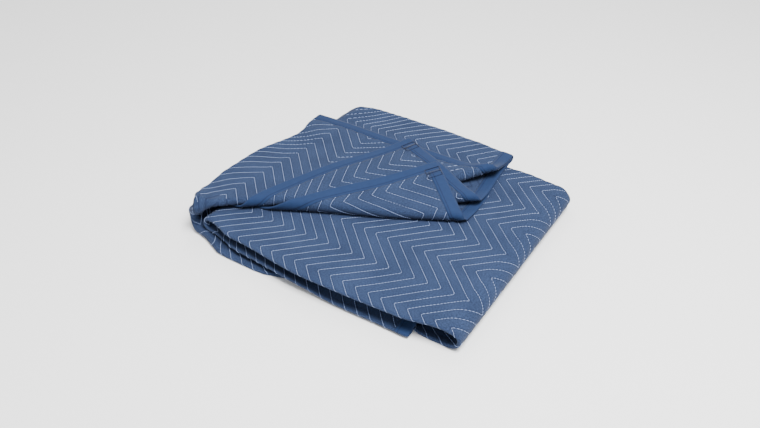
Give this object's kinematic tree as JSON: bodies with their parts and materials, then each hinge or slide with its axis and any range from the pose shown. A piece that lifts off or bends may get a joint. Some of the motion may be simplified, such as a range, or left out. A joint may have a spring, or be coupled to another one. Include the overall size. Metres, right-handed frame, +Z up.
{
  "type": "moving blanket",
  "caption": "Quilted moving blanket folded flat into a square pad, with taped edges and the free corner of its top turned back in layers.",
  "frame": {"origin": "on the surface the blanket lies on, under the middle of its bounding box", "axes": "+X along the front of the folded blanket, from its rolled left end to its folded right end; +Y to the back; +Z up"},
  "size_m": [0.5668, 0.5171, 0.0911],
  "materials": {
    "quilted_cloth": "quilted woven cloth, matt",
    "binding_tape": "plain woven tape, matt"
  },
  "bodies": {
    "root": {"quilted_cloth": "quilted_cloth", "inner_edge_binding": "binding_tape", "outer_edge_binding": "binding_tape", "flap_end_binding": "binding_tape", "tucked_end_binding": "binding_tape"}
  },
  "joints": []
}
